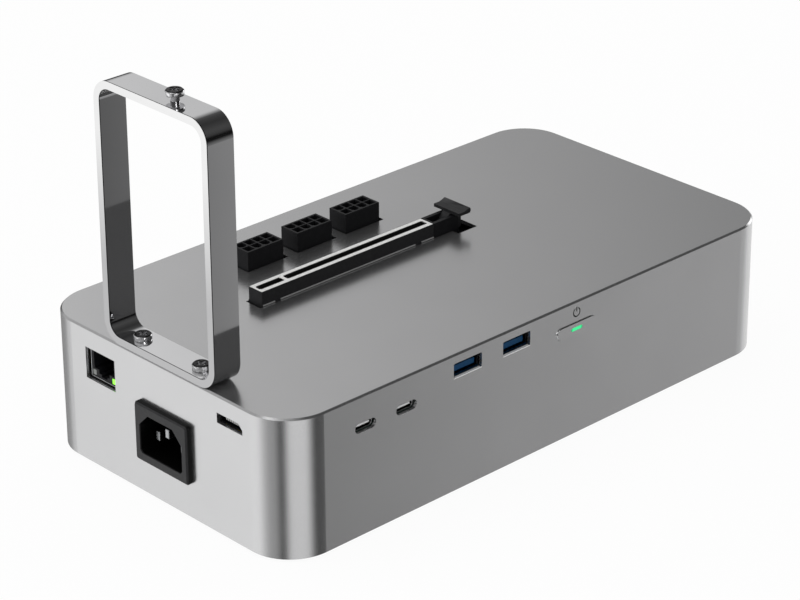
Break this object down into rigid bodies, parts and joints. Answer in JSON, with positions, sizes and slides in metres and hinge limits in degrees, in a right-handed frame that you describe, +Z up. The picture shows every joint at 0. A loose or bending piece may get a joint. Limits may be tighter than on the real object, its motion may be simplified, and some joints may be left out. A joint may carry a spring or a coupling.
{
  "type": "pcie expansion chassis",
  "caption": "Low metal box with rounded corners that carries a graphics card in a slot on top, with supply headers, an upright card bracket, ports, a mains inlet and a power button.",
  "frame": {"origin": "centre of the housing's plan, on the table under the feet", "axes": "+X along the long side away from the mains inlet, +Y from the button side to the back, +Z up"},
  "size_m": [0.2614, 0.1385, 0.1647],
  "materials": {
    "housing_metal": "fine matt blasted metal, plain grey",
    "cover_metal": "matt grey metal",
    "dark_screw": "blackened steel",
    "bright_screw": "bright zinc-plated steel",
    "foot_rubber": "matt black rubber",
    "board": "dark green laminate with solder mask",
    "supply_board": "tan laminate",
    "slot_plastic": "satin black moulding",
    "liner_plastic": "white moulding",
    "contact_metal": "gold-plated spring contacts",
    "latch_plastic": "matt black moulding",
    "header_plastic": "matt black moulding",
    "pin_metal": "tin-plated pins",
    "bracket_metal": "polished steel",
    "shield_metal": "plated sheet steel",
    "jack_plastic": "black moulding",
    "jack_lamp": "clear lamps, one lit green",
    "inlet_plastic": "satin black moulding",
    "blade_metal": "nickel-plated pins",
    "inlet_lead": "brown insulated wire",
    "blue_plastic": "blue moulding",
    "tongue_plastic": "grey moulding",
    "pillar_brass": "turned brass",
    "chip_plastic": "black moulded package",
    "sink_metal": "extruded, matt",
    "button_metal": "matt metal cap",
    "button_lamp": "lit green lens",
    "switch_plastic": "black moulding",
    "fan_plastic": "matt black moulding",
    "capacitor_sleeve": "dark blue shrink sleeve",
    "transformer_core": "ferrite core with yellow tape",
    "transistor_package": "black moulded package",
    "choke_winding": "enamelled copper winding",
    "filter_blocks": "yellow moulded cases",
    "output_lead": "yellow insulated wire",
    "fan_lead": "red insulated wire"
  },
  "bodies": {
    "chassis": {"housing_shell": "housing_metal", "bottom_cover": "cover_metal", "cover_screws": "dark_screw", "rubber_feet": "foot_rubber", "main_board": "board", "board_screws": "bright_screw", "slot_body": "slot_plastic", "slot_liner": "liner_plastic", "slot_contacts": "contact_metal", "latch_housing": "latch_plastic", "supply_header_1": "header_plastic", "supply_header_2": "header_plastic", "supply_header_3": "header_plastic", "header_pins": "pin_metal", "bracket_loop": "bracket_metal", "bracket_screws": "bright_screw", "network_jack_shield": "shield_metal", "network_jack_insert": "jack_plastic", "network_jack_contacts": "contact_metal", "network_jack_lamps": "jack_lamp", "mains_inlet": "inlet_plastic", "inlet_blades": "blade_metal", "inlet_leads": "inlet_lead", "link_port_shell": "shield_metal", "link_port_tongue": "jack_plastic", "wide_port_shell_1": "shield_metal", "wide_port_shell_2": "shield_metal", "wide_port_tongue_1": "blue_plastic", "wide_port_tongue_2": "blue_plastic", "slim_port_shell_1": "shield_metal", "slim_port_shell_2": "shield_metal", "slim_port_tongue_1": "tongue_plastic", "slim_port_tongue_2": "tongue_plastic", "port_board": "board", "port_board_pillars": "pillar_brass", "port_board_screws": "bright_screw", "port_board_link": "switch_plastic", "board_chips": "chip_plastic", "chip_heatsink": "sink_metal", "switch_case": "switch_plastic", "button_board": "board", "fan_frame": "fan_plastic", "fan_screws": "dark_screw", "fan_leads": "fan_lead", "supply_board": "supply_board", "supply_pillars": "pillar_brass", "supply_screws": "bright_screw", "supply_capacitors": "capacitor_sleeve", "supply_transformer": "transformer_core", "supply_heatsinks": "sink_metal", "supply_transistors": "transistor_package", "supply_choke": "choke_winding", "supply_filter": "filter_blocks", "supply_leads": "output_lead"},
    "power_button_body": {"power_button": "button_metal", "button_lamp": "button_lamp", "switch_plunger": "switch_plastic"},
    "latch": {"card_latch": "latch_plastic"},
    "fan": {"fan_rotor": "fan_plastic"},
    "clamp_screw": {"card_screw": "bright_screw"}
  },
  "joints": [
    {"name": "button_press", "type": "slide", "parent": "chassis", "child": "power_button_body", "axis": [0, 1, 0], "range_m": [0, 0.0008], "stiffness_N_per_m": 400, "springref_m": -0.0005},
    {"name": "latch_swing", "type": "hinge", "parent": "chassis", "child": "latch", "pos_m": [0.0275, 0.013, 0.0555], "axis": [0, 1, 0], "range_deg": [0, 25]},
    {"name": "fan_spin", "type": "hinge", "parent": "chassis", "child": "fan", "pos_m": [0.0775, 0, 0.0055], "axis": [0, 0, 1], "continuous": true},
    {"name": "card_screw_drive", "type": "slide", "parent": "chassis", "child": "clamp_screw", "axis": [0, 0, 1], "range_m": [-0.0021, 0.0035]}
  ]
}
